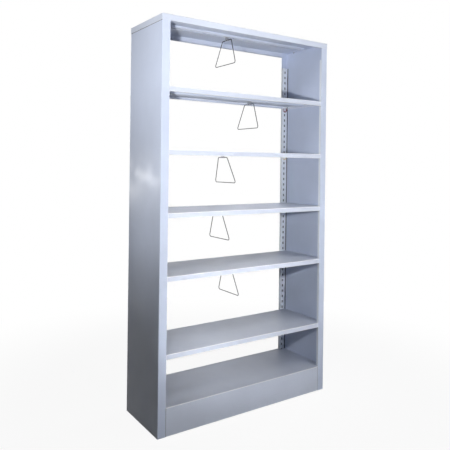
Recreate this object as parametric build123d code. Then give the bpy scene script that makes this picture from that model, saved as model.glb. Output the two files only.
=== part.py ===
from build123d import *
import os

# Library bookshelf of folded sheet steel, open at the back, in millimetres.
# X runs along the shelves, Y from the front to the rear, Z up.
# The origin is on the floor, at the middle of the footprint.

# Overall size
overall_height = 2000.0
overall_width = 1068.0
overall_depth = 358.0

# Sheets and their bends
cover_sheet = 1.2
panel_sheet = 1.2
post_sheet = 1.5
shelf_sheet = 1.0
kick_sheet = 1.2
rail_sheet = 1.0
clip_sheet = 1.5
bend_radius = 0.8

# Side panels
flange_width = 42.0
panel_return = 20.0
panel_return_relief = 4.0

# Top cover, with the studs under it and their nuts
skirt_height = 30.0
cover_return = 12.0
cover_corner_radius = 2.5
studs_per_side = 2
stud_spacing = 200.0
stud_radius = 2.5
stud_length = 11.0
stud_chamfer = 0.6
stud_hole_clearance = 0.3
nut_flats = 8.0
nut_height = 4.5
nut_flange_radius = 5.8
nut_flange_height = 1.2
nut_bore_clearance = 0.1

# Slotted posts
post_depth = 15.0
post_gap = 4.8
post_lip = 8.0
post_top_drop = 97.0
slot_width = 8.5
slot_height = 14.0
slot_corner_radius = 1.5
slot_pitch = 33.5
slot_inset = 15.5
top_slot_drop = 123.0
lowest_slot_height = 55.0

# Adjustable shelves, numbered from the top, with the cover as number one.
# Each share is how far down the column of slots the shelf's clips hang.
shelf_row_shares = {2: 0.13, 3: 0.29, 4: 0.455, 5: 0.62, 6: 0.82}
shelf_over_slot = 19.0
shelf_lip = 25.0
shelf_return = 12.0
shelf_rear_lip = 15.0
shelf_rear_return = 10.0
shelf_side_lip = 15.0
shelf_gap = 0.6
side_gap = 0.8
end_gap = 1.0

# Shelf clips
clip_width = 20.0
clip_ledge = 20.0
clip_below_slot = 9.0
prong_width = 6.0
prong_height = 7.0
prong_drop = 5.0
prong_play = 0.3

# Base shelf and kick plates
base_top = 138.0
kick_top_return = 22.0
kick_bottom_return = 15.0
kick_tab_depth = 13.5
kick_tab_margin = 12.0
kick_screw_margin = 22.0
screw_radius = 2.4
screw_length = 9.0
screw_head_radius = 4.0
screw_head_height = 2.2
screw_hole_clearance = 0.2
screw_recess_width = 1.2
screw_recess_length = 5.0
screw_recess_depth = 1.0

# Stop rails and runners
rail_width = 40.0
rail_height = 12.0
rail_opening = 20.0
rail_end_gap = 31.6
runner_length = 36.0
runner_sheet = 2.5
runner_gap = 0.4
ear_sheet = 2.4
ear_length = 8.0
ear_below_wire = 1.5
ear_corner_radius = 3.0

# Wire book stops: the number of the level that each hangs from, and its place along the shelf.
# Each swing is how many degrees the foot of the loop hangs towards the right.
stop_places = {1: -48.0, 2: 108.0, 3: -66.0, 4: -94.0, 5: -29.0}
stop_swings = {1: -4.4, 2: -3.9, 3: 8.0, 4: 5.0, 5: 5.0}
wire_radius = 2.0
wire_hole_clearance = 0.1
wire_drop = 29.0
wire_height = 137.0
wire_top_width = 84.0
wire_bottom_width = 198.0
wire_top_radius = 8.0
wire_bottom_radius = 9.0

# How far a cut runs past the face that it opens
overrun = 5.0

# Planes and edges worked out from the sizes above
cover_top = overall_height
cover_under = cover_top - cover_sheet
panel_x = overall_width / 2 - cover_sheet
panel_inner_x = panel_x - panel_sheet
panel_y = overall_depth / 2 - cover_sheet
flange_inner_y = panel_y - panel_sheet
flange_edge_x = panel_x - flange_width
post_outer_x = panel_inner_x - post_gap
post_face_y = flange_inner_y - post_depth
post_bottom = panel_sheet
post_top = overall_height - post_top_drop
slot_x = flange_edge_x + slot_inset
top_slot_z = overall_height - top_slot_drop
slot_rows = int((top_slot_z - lowest_slot_height) / slot_pitch) + 1
shelf_rows = {level: round(slot_rows * share) for level, share in shelf_row_shares.items()}
shelf_edge_y = post_face_y - shelf_gap
lip_end_x = flange_edge_x - side_gap
shelf_end_x = panel_inner_x - end_gap
rail_length = 2 * (panel_inner_x - rail_end_gap)
kick_top = base_top - shelf_sheet
kick_screw_y = flange_inner_y - post_depth / 2


def slot_z(row):
    """Height of the middle of a slot, counted down from the top row."""
    return top_slot_z - row * slot_pitch


def shelf_z(level):
    """Height of the top face of an adjustable shelf."""
    return slot_z(shelf_rows[level]) + shelf_over_slot


def carrier_top(level):
    """Height of the top face of the cover or shelf that a stop rail hangs from."""
    return cover_top if level not in shelf_rows else shelf_z(level)


def carrier_under(level):
    """Height of the underside of the sheet that a stop rail hangs from."""
    return cover_under if level not in shelf_rows else shelf_z(level) - shelf_sheet


def block(x_low, x_high, y_low, y_high, z_low, z_high):
    """Box between two corners."""
    box = Box(x_high - x_low, y_high - y_low, z_high - z_low)
    return Pos((x_low + x_high) / 2, (y_low + y_high) / 2, (z_low + z_high) / 2) * box


def folded_face(path, sheet):
    """Section of a folded sheet: path follows its outer face and sheet is its thickness.

    A positive sheet thickens the path to its left, a negative one to its right.
    """
    points = [Vector(*point) for point in path]
    runs = [(end - start).normalized() for start, end in zip(points, points[1:])]
    normals = [Vector(-run.Y, run.X) for run in runs]
    mitres = [normals[0]]
    mitres += [before + after for before, after in zip(normals, normals[1:])]
    mitres += [normals[-1]]
    beside = [normals[0]] + normals
    inner = [
        point + mitre * (sheet / mitre.dot(normal))
        for point, mitre, normal in zip(points, mitres, beside)
    ]
    face = make_face(Polyline(*points, *reversed(inner), close=True)).face()
    for outer_corner, inner_corner in zip(points[1:-1], inner[1:-1]):
        near_outer = face.vertices().sort_by_distance(outer_corner)[0]
        face = face.fillet_2d(bend_radius + abs(sheet), [near_outer])
        near_inner = face.vertices().sort_by_distance(inner_corner)[0]
        face = face.fillet_2d(bend_radius, [near_inner])
    return face


def folded_along_x(path, sheet, x_low, x_high):
    """Folded sheet whose section, given as Y and Z, runs along X."""
    section = Plane.YZ.offset(x_low) * folded_face(path, sheet)
    return extrude(section, x_high - x_low, dir=(1, 0, 0))


def folded_along_y(path, sheet, y_low, y_high):
    """Folded sheet whose section, given as X and Z, runs along Y."""
    section = Plane.XZ.offset(-y_low) * folded_face(path, sheet)
    return extrude(section, y_high - y_low, dir=(0, 1, 0))


def folded_along_z(path, sheet, z_low, z_high):
    """Folded sheet whose section, given as X and Y, runs along Z."""
    section = Plane.XY.offset(z_low) * folded_face(path, sheet)
    return extrude(section, z_high - z_low, dir=(0, 0, 1))


def to_left(shape):
    """Mirror image of a right-hand shape."""
    return mirror(shape, Plane.YZ)


def to_front(shape):
    """Mirror image of a rear shape."""
    return mirror(shape, Plane.XZ)


def stud_places():
    """X and Y of each stud under the cover."""
    middle = (studs_per_side - 1) / 2
    x = panel_x - panel_return / 2
    rows = [(index - middle) * stud_spacing for index in range(studs_per_side)]
    return [(side * x, y) for side in (-1, 1) for y in rows]


def kick_screw_heights():
    """Heights of the two screws at each end of a kick plate."""
    return (kick_screw_margin + kick_bottom_return, kick_top - kick_screw_margin)


def screw():
    """Pan-head screw along Z, its head standing on the plane Z = 0 and its shank below it."""
    standing = (Align.CENTER, Align.CENTER, Align.MIN)
    hanging = (Align.CENTER, Align.CENTER, Align.MAX)
    head = Cylinder(screw_head_radius, screw_head_height, align=standing)
    crown = head.edges().group_by(Axis.Z)[-1]
    head = fillet(crown, screw_head_height / 2)
    shank = Cylinder(screw_radius, screw_length, align=hanging)
    recess = Pos(0, 0, screw_head_height - screw_recess_depth) * Box(
        screw_recess_length,
        screw_recess_width,
        screw_recess_depth + overrun,
        align=standing,
    )
    return head + shank - recess - Rot(0, 0, 90) * recess


def right_side_panel():
    """Web with a front and a rear flange, and a narrow return at the top and the bottom."""
    height = cover_under
    path = [
        (flange_edge_x, -panel_y),
        (panel_x, -panel_y),
        (panel_x, panel_y),
        (flange_edge_x, panel_y),
    ]
    panel = folded_along_z(path, panel_sheet, 0, height)
    reach = flange_inner_y - panel_return_relief
    for z_low in (0, height - panel_sheet):
        z_high = z_low + panel_sheet
        panel += block(panel_x - panel_return, panel_inner_x, -reach, reach, z_low, z_high)
    for x, y in stud_places():
        panel -= Pos(x, y, height) * Cylinder(stud_radius + stud_hole_clearance, overrun)
    return panel


def top_cover():
    """Lid with a skirt outside the panels, and a return inside its front and rear skirt."""
    bottom = cover_top - skirt_height
    half_width = overall_width / 2
    half_depth = overall_depth / 2
    lid = block(-half_width, half_width, -half_depth, half_depth, bottom, cover_top)
    lid = fillet(lid.edges().filter_by(Axis.Z), cover_corner_radius)
    lid = fillet(lid.edges().group_by(Axis.Z)[-1], cover_corner_radius)
    hollow = block(-panel_x, panel_x, -panel_y, panel_y, bottom - overrun, cover_under)
    hollow = fillet(hollow.edges().filter_by(Axis.Z), cover_corner_radius - cover_sheet)
    lid -= hollow
    for side in (-1, 1):
        y_skirt = side * panel_y
        y_return = side * (panel_y - cover_return)
        y_low = min(y_skirt, y_return)
        y_high = max(y_skirt, y_return)
        lid += block(-lip_end_x, lip_end_x, y_low, y_high, bottom, bottom + cover_sheet)
    return lid


def top_cover_studs():
    """Studs welded under the cover, down through the top returns of the side panels."""
    stud = Cylinder(stud_radius, stud_length, align=(Align.CENTER, Align.CENTER, Align.MAX))
    stud = chamfer(stud.edges().group_by(Axis.Z)[0], stud_chamfer)
    return [Pos(x, y, cover_under) * stud for x, y in stud_places()]


def top_cover_nuts():
    """Flanged nuts on the studs, under the top returns of the side panels."""
    hexagon = RegularPolygon(nut_flats / 2, 6, major_radius=False)
    flange = Circle(nut_flange_radius)
    nut = extrude(hexagon, -nut_height) + extrude(flange, -nut_flange_height)
    nut -= Cylinder(stud_radius + nut_bore_clearance, 2 * (nut_height + overrun))
    return [Pos(x, y, cover_under - panel_sheet) * nut for x, y in stud_places()]


def right_rear_post():
    """Channel with a slotted face towards the shelves and lips along the panel's flange."""
    path = [
        (flange_edge_x + post_lip, flange_inner_y),
        (flange_edge_x, flange_inner_y),
        (flange_edge_x, post_face_y),
        (post_outer_x, post_face_y),
        (post_outer_x, flange_inner_y),
        (post_outer_x - post_lip, flange_inner_y),
    ]
    post = folded_along_z(path, post_sheet, post_bottom, post_top)
    slot = RectangleRounded(slot_width, slot_height, slot_corner_radius)
    slots = Sketch() + [Pos(slot_x, slot_z(row)) * slot for row in range(slot_rows)]
    post -= extrude(Plane.XZ.offset(-post_face_y) * slots, post_sheet + overrun / 2, both=True)
    hole = Rot(0, 90, 0) * Cylinder(screw_radius + screw_hole_clearance, overrun)
    for z in kick_screw_heights():
        post -= Pos(flange_edge_x, kick_screw_y, z) * hole
    return post


def shelf_end(top):
    """Right end of a shelf: the sheet behind the flange, with its side lip."""
    path = [(lip_end_x, top), (shelf_end_x, top), (shelf_end_x, top - shelf_side_lip)]
    return folded_along_y(path, -shelf_sheet, -shelf_edge_y, shelf_edge_y)


def adjustable_shelf(level):
    """Tray with a front and a rear lip, each with a return, and notched corners round the posts."""
    top = shelf_z(level)
    front_low = top - shelf_lip
    rear_low = top - shelf_rear_lip
    path = [
        (shelf_edge_y - shelf_rear_return, rear_low),
        (shelf_edge_y, rear_low),
        (shelf_edge_y, top),
        (-panel_y, top),
        (-panel_y, front_low),
        (shelf_return - panel_y, front_low),
    ]
    tray = folded_along_x(path, shelf_sheet, -lip_end_x, lip_end_x)
    end = shelf_end(top)
    return tray + end + to_left(end)


def base_shelf():
    """Plain sheet over both kick plates, with side lips behind the flanges."""
    tray = block(-lip_end_x, lip_end_x, -panel_y, panel_y, kick_top, base_top)
    end = shelf_end(base_top)
    return tray + end + to_left(end)


def rear_kick_plate():
    """Upright plate between the flanges, with a return at each edge and a tab at each end."""
    path = [
        (panel_y - kick_bottom_return, 0),
        (panel_y, 0),
        (panel_y, kick_top),
        (panel_y - kick_top_return, kick_top),
    ]
    plate = folded_along_x(path, kick_sheet, -lip_end_x, lip_end_x)
    hole = Rot(0, 90, 0) * Cylinder(screw_radius + screw_hole_clearance, overrun)
    tab = block(
        lip_end_x - kick_sheet,
        lip_end_x,
        panel_y - kick_tab_depth,
        panel_y - kick_sheet,
        kick_tab_margin,
        kick_top - kick_tab_margin,
    )
    for z in kick_screw_heights():
        tab -= Pos(lip_end_x, kick_screw_y, z) * hole
    return plate + tab + to_left(tab)


def rear_kick_plate_screws():
    """Screws outwards through the tabs of the kick plate into the posts."""
    one = Rot(0, -90, 0) * screw()
    right = [
        Pos(lip_end_x - kick_sheet, kick_screw_y, z) * one
        for z in kick_screw_heights()
    ]
    return right + [to_left(item) for item in right]


def right_rear_clip(level):
    """Angle with a ledge under the shelf and a hooked prong through one slot."""
    slot = slot_z(shelf_rows[level])
    ledge = shelf_z(level) - shelf_sheet
    x_low = slot_x - clip_width / 2
    x_high = slot_x + clip_width / 2
    path = [
        (post_face_y, slot - clip_below_slot),
        (post_face_y, ledge),
        (post_face_y - clip_ledge, ledge),
    ]
    angle = folded_along_x(path, clip_sheet, x_low, x_high)
    seat = slot - slot_height / 2
    back = post_face_y + post_sheet + prong_play
    prong = block(
        slot_x - prong_width / 2,
        slot_x + prong_width / 2,
        post_face_y - clip_sheet / 2,
        back + clip_sheet,
        seat,
        seat + prong_height,
    )
    hook = block(
        slot_x - prong_width / 2,
        slot_x + prong_width / 2,
        back,
        back + clip_sheet,
        seat - prong_drop,
        seat + prong_height / 2,
    )
    return angle + prong + hook


def shelf_clips(level):
    """The four clips that carry one shelf."""
    right_rear = right_rear_clip(level)
    rear = [right_rear, to_left(right_rear)]
    return rear + [to_front(clip) for clip in rear]


def stop_rail(level):
    """Channel open downwards, with inward lips, along the underside of a shelf or the cover."""
    top = carrier_under(level)
    low = top - rail_height
    side = rail_width / 2
    mouth = rail_opening / 2
    path = [(-mouth, low), (-side, low), (-side, top), (side, top), (side, low), (mouth, low)]
    return folded_along_x(path, -rail_sheet, -rail_length / 2, rail_length / 2)


def stop_runner(level):
    """Plate that rides on the lips of the rail, with two ears that hold the wire."""
    x = stop_places[level]
    lips = carrier_under(level) - rail_height + rail_sheet
    low = lips + runner_gap
    wire_z = carrier_top(level) - wire_drop
    half_width = rail_width / 2 - rail_sheet - runner_gap
    half_length = runner_length / 2
    runner = block(x - half_length, x + half_length, -half_width, half_width, low, low + runner_sheet)
    ear_outer = rail_opening / 2 - runner_gap
    ear = block(
        x - ear_length / 2,
        x + ear_length / 2,
        ear_outer - ear_sheet,
        ear_outer,
        wire_z - wire_radius - ear_below_wire,
        low + runner_sheet / 2,
    )
    ear = fillet(ear.edges().group_by(Axis.Z)[0].filter_by(Axis.Y), ear_corner_radius)
    runner += ear + to_front(ear)
    bore = Rot(90, 0, 0) * Cylinder(wire_radius + wire_hole_clearance, rail_width)
    return runner - Pos(x, 0, wire_z) * bore


def wire_stop(level):
    """Closed loop of wire across the shelf, narrow at the top and wide at the bottom."""
    corners = [
        Vector(-wire_top_width / 2, 0),
        Vector(wire_top_width / 2, 0),
        Vector(wire_bottom_width / 2, -wire_height),
        Vector(-wire_bottom_width / 2, -wire_height),
    ]
    radii = [wire_top_radius, wire_top_radius, wire_bottom_radius, wire_bottom_radius]
    loop = make_face(Polyline(*corners, close=True)).face()
    for corner, radius in zip(corners, radii):
        loop = loop.fillet_2d(radius, [loop.vertices().sort_by_distance(corner)[0]])
    hanger = Pos(stop_places[level], 0, carrier_top(level) - wire_drop)
    path = (hanger * Rot(0, -stop_swings[level], 0) * (Plane.YZ * loop)).outer_wire()
    section = Plane(path @ 0, z_dir=path % 0) * Circle(wire_radius)
    return sweep(section, path=path)


def write(node, shapes):
    """Write one node as a STEP file. A list of shapes stays a group of separate solids."""
    if isinstance(shapes, list):
        shape = Compound(children=[item.solid() for item in shapes])
    else:
        shape = shapes.solid()
    shape.label = node
    export_step(shape, os.path.join("parts", node + ".step"))


os.makedirs("parts", exist_ok=True)

# Frame
panel = right_side_panel()
write("right_side_panel", panel)
write("left_side_panel", to_left(panel))
post = right_rear_post()
write("right_rear_post", post)
write("left_rear_post", to_left(post))
write("right_front_post", to_front(post))
write("left_front_post", to_left(to_front(post)))
write("top_cover", top_cover())
write("top_cover_studs", top_cover_studs())
write("top_cover_nuts", top_cover_nuts())

# Base
write("base_shelf", base_shelf())
kick_plate = rear_kick_plate()
write("rear_kick_plate", kick_plate)
write("front_kick_plate", to_front(kick_plate))
kick_screws = rear_kick_plate_screws()
write("rear_kick_plate_screws", kick_screws)
write("front_kick_plate_screws", [to_front(item) for item in kick_screws])

# Adjustable shelves, their clips and rails
write("stop_rail_1", stop_rail(1))
for level in shelf_rows:
    write(f"shelf_{level}", adjustable_shelf(level))
    write(f"shelf_clips_{level}", shelf_clips(level))
    write(f"stop_rail_{level}", stop_rail(level))

# Hanging book stops
for level in stop_places:
    write(f"stop_runner_{level}", stop_runner(level))
    write(f"wire_stop_{level}", wire_stop(level))
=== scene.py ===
"""Library bookshelf of folded sheet steel, dressed and lit for rendering.

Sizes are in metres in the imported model's own frame: X along the shelves, Y from the front to the
rear, Z up, with the origin on the floor at the middle of the footprint.
"""

import logging
import math
from dataclasses import dataclass, field
from enum import Enum
from typing import Any, Iterable

import bmesh
import bpy
from mathutils import Matrix, Vector

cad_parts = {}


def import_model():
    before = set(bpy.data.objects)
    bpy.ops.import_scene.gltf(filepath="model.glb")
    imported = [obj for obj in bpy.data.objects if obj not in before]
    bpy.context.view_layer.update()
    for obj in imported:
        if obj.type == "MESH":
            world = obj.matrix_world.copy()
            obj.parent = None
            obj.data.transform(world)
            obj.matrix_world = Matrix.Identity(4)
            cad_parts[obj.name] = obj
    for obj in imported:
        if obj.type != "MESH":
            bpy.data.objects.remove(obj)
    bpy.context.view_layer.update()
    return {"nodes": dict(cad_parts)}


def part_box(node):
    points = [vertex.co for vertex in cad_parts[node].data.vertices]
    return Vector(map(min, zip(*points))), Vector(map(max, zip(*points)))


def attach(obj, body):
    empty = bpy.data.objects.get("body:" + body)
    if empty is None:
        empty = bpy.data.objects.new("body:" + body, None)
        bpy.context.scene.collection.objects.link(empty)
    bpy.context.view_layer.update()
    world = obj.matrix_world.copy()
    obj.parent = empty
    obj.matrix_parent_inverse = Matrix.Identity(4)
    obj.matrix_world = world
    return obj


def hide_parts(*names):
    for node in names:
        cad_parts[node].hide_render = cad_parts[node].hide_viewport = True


LOG = logging.getLogger("bookshelf")

Colour = tuple[float, float, float]
Point = tuple[float, float, float]
Span = tuple[float, float]
Inputs = dict[str | int, Any]

WHITE: Colour = (1.0, 1.0, 1.0)


class Wear(Enum):
    """How hard a painted piece is used, as the strength of its rubbed edges and marks."""

    SHELTERED = 0.15
    HANDLED = 0.45
    KICKED = 1.0


class Marks(Enum):
    """Which way the fine marks on a surface run, as the pattern's scale along X, Y and Z."""

    ALONG_SHELF = (2.5, 260.0, 260.0)
    FRONT_TO_REAR = (260.0, 3.0, 260.0)
    UPRIGHT = (260.0, 260.0, 2.5)


class Side(Enum):
    """Left or right end of the bookshelf, as the sign of X."""

    LEFT = -1
    RIGHT = 1


# Materials


@dataclass(frozen=True)
class Region:
    """Box that the two middle planes of the bookshelf mirror."""

    low: Point
    high: Point


@dataclass(frozen=True)
class Pattern:
    """Cloudy pattern, with its clouds to a metre and the values between which it comes to show."""

    scale: float
    detail: float = 3.0
    roughness: float = 0.55
    low: float = 0.3
    high: float = 0.7


def rgba(colour: Colour, factor: float = 1.0) -> tuple[float, float, float, float]:
    """Colour with an alpha of one, brightened or darkened by a factor."""
    return (colour[0] * factor, colour[1] * factor, colour[2] * factor, 1.0)


def tinted(colour: Colour, tint: Colour) -> Colour:
    """Colour with each of its parts multiplied by the tint's."""
    return (colour[0] * tint[0], colour[1] * tint[1], colour[2] * tint[2])


class NodeGraph:
    """Tree of nodes that are wired by the names of their sockets."""

    def __init__(self, tree: bpy.types.NodeTree) -> None:
        """Takes up the tree that the nodes go into."""
        self.tree = tree

    def feed(self, node: bpy.types.Node, values: Inputs) -> None:
        """Sets or wires inputs of one node.

        Args:
            node: The node.
            values: For each input, a constant or the output that feeds it.
        """
        for key, value in values.items():
            if isinstance(value, bpy.types.NodeSocket):
                self.tree.links.new(value, node.inputs[key])
            else:
                node.inputs[key].default_value = value

    def add(self, kind: str, values: Inputs | None = None, **settings: Any) -> bpy.types.Node:
        """Adds one node.

        Args:
            kind: Blender's name of the node type.
            values: For each input, a constant or the output that feeds it.
            settings: Properties of the node itself.

        Returns:
            The new node.
        """
        node = self.tree.nodes.new(kind)
        for key, value in settings.items():
            setattr(node, key, value)
        self.feed(node, values or {})
        return node


class ShaderGraph(NodeGraph):
    """Shader nodes of one material."""

    # How alike the rounded and the true normal are where the strip along an edge starts, and on it.
    EDGE = (0.99, 0.85)
    # Largest part of the normal where a bend starts, and in its middle.
    BEND = (0.985, 0.9)
    # Upward part of the normal where dust starts to settle, and where all of it stays.
    LEVEL = (0.6, 0.95)
    REGION_BLUR = 0.0001

    def __init__(self, name: str) -> None:
        """Starts an empty material.

        Args:
            name: Name of the material.
        """
        self.material = bpy.data.materials.new(name)
        self.material.use_nodes = True
        super().__init__(self.material.node_tree)
        self.tree.nodes.clear()
        self.place = self.add("ShaderNodeTexCoord").outputs["Object"]

    def noise(self, pattern: Pattern, where: Any = None) -> Any:
        """Cloudy pattern as it comes.

        Args:
            pattern: The pattern.
            where: Coordinates, or None for the object's own.

        Returns:
            The output with the pattern, from 0 to 1.
        """
        return self.add("ShaderNodeTexNoise", {
            "Vector": where or self.place,
            "Scale": pattern.scale,
            "Detail": pattern.detail,
            "Roughness": pattern.roughness,
        }).outputs["Fac"]

    def clouds(self, pattern: Pattern, start: float = 0.0, end: float = 1.0) -> Any:
        """Cloudy pattern drawn out to run from start between the clouds to end in them."""
        return self.ramp(self.noise(pattern), pattern.low, pattern.high, start, end)

    def streaks(self, marks: Marks, pattern: Pattern) -> Any:
        """Fine parallel marks.

        Args:
            marks: The way that the marks run.
            pattern: The pattern that is drawn out into marks.

        Returns:
            The output, from 0 for clean to 1 for marked.
        """
        drawn_out = self.add("ShaderNodeMapping", {"Vector": self.place, "Scale": marks.value})
        lines = self.noise(pattern, drawn_out.outputs["Vector"])
        return self.ramp(lines, pattern.low, pattern.high)

    def ramp(self, value: Any, low: float, high: float,
             start: float = 0.0, end: float = 1.0) -> Any:
        """Value moved smoothly from one range to another.

        Args:
            value: Output to read.
            low: Value that becomes start.
            high: Value that becomes end.
            start: Result at low.
            end: Result at high.

        Returns:
            The output with the result.
        """
        values = {"Value": value, "From Min": low, "From Max": high, "To Min": start, "To Max": end}
        node = self.add("ShaderNodeMapRange", values, interpolation_type="SMOOTHSTEP")
        return node.outputs["Result"]

    def reckon(self, operation: str, first: Any, second: Any, **settings: Any) -> Any:
        """Result of one sum on two values, by Blender's name of the sum."""
        node = self.add("ShaderNodeMath", {0: first, 1: second}, operation=operation, **settings)
        return node.outputs["Value"]

    def times(self, first: Any, second: Any) -> Any:
        """Product of two values."""
        return self.reckon("MULTIPLY", first, second)

    def plus(self, first: Any, second: Any) -> Any:
        """Sum of two values, kept between 0 and 1."""
        return self.reckon("ADD", first, second, use_clamp=True)

    def vectors(self, operation: str, *values: Any) -> Any:
        """Outputs of one sum on vectors, of which Vector or Value holds the result."""
        node = self.add("ShaderNodeVectorMath", dict(enumerate(values)), operation=operation)
        return node.outputs

    def largest(self, vector: Any) -> Any:
        """Largest of a vector's three parts."""
        parts = self.add("ShaderNodeSeparateXYZ", {"Vector": vector}).outputs
        return self.reckon("MAXIMUM", self.reckon("MAXIMUM", parts["X"], parts["Y"]), parts["Z"])

    def normal(self) -> Any:
        """Direction that the surface looks in."""
        return self.add("ShaderNodeNewGeometry").outputs["Normal"]

    def blend(self, share: Any, first: Any, second: Any) -> Any:
        """Mix of two colours.

        Args:
            share: How much of the second colour shows.
            first: First colour, as RGBA or an output.
            second: Second colour, as RGBA or an output.

        Returns:
            The output with the mix.
        """
        # The colours' sockets share their names with other kinds of data, so they go by number.
        first_socket, second_socket, result_socket = 6, 7, 2
        values = {"Factor": share, first_socket: first, second_socket: second}
        return self.add("ShaderNodeMix", values, data_type="RGBA").outputs[result_socket]

    def shaded(self, share: Any, colour: Colour, tones: Span) -> Any:
        """Colour that runs from the first of two tones of itself to the second."""
        return self.blend(share, *(rgba(colour, tone) for tone in tones))

    def sheen(self, pattern: Pattern, roughness: float, gloss: Span) -> Any:
        """Roughness that clouds lower and raise."""
        return self.clouds(pattern, *(roughness + part for part in gloss))

    def bump(self, height: Any, depth: float, under: Any = None) -> Any:
        """Relief in the surface.

        Args:
            height: Pattern from 0 to 1.
            depth: Height of the relief, in metres.
            under: Output of a bump that lies under this one.

        Returns:
            The output with the bent normal.
        """
        values: Inputs = {"Height": height, "Distance": depth, "Strength": 1.0}
        if under is not None:
            values["Normal"] = under
        return self.add("ShaderNodeBump", values).outputs["Normal"]

    def edges(self, radius: float) -> Any:
        """Mask of the strip along each edge, from 0 on a face to 1 on an edge."""
        rounded = self.add("ShaderNodeBevel", {"Radius": radius}, samples=4).outputs["Normal"]
        return self.ramp(self.vectors("DOT_PRODUCT", rounded, self.normal())["Value"], *self.EDGE)

    def within(self, region: Region) -> Any:
        """Mask of the part inside a region.

        Args:
            region: The region, which the middle planes mirror.

        Returns:
            The output, from 0 outside to 1 inside.
        """
        low, high = Vector(region.low), Vector(region.high)
        folded = self.vectors("ABSOLUTE", self.place)["Vector"]
        offset = self.vectors("SUBTRACT", folded, (low + high) / 2)["Vector"]
        reach = self.vectors("ABSOLUTE", offset)["Vector"]
        past = self.vectors("SUBTRACT", reach, (high - low) / 2)["Vector"]
        return self.ramp(self.largest(past), self.REGION_BLUR, -self.REGION_BLUR)

    def bends(self) -> Any:
        """Mask of the rounded bends, whose faces look along none of the three axes."""
        facing = self.vectors("ABSOLUTE", self.normal())["Vector"]
        return self.ramp(self.largest(facing), *self.BEND)

    def upward(self) -> Any:
        """Mask of the faces that look up, where dust settles."""
        parts = self.add("ShaderNodeSeparateXYZ", {"Vector": self.normal()}).outputs
        return self.ramp(parts["Z"], *self.LEVEL)

    def finish(self, values: Inputs) -> bpy.types.Material:
        """Ends the material in a principled shader.

        Args:
            values: Inputs of the shader.

        Returns:
            The finished material.
        """
        shader = self.add("ShaderNodeBsdfPrincipled", values)
        self.add("ShaderNodeOutputMaterial", {"Surface": shader.outputs["BSDF"]})
        return self.material


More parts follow.
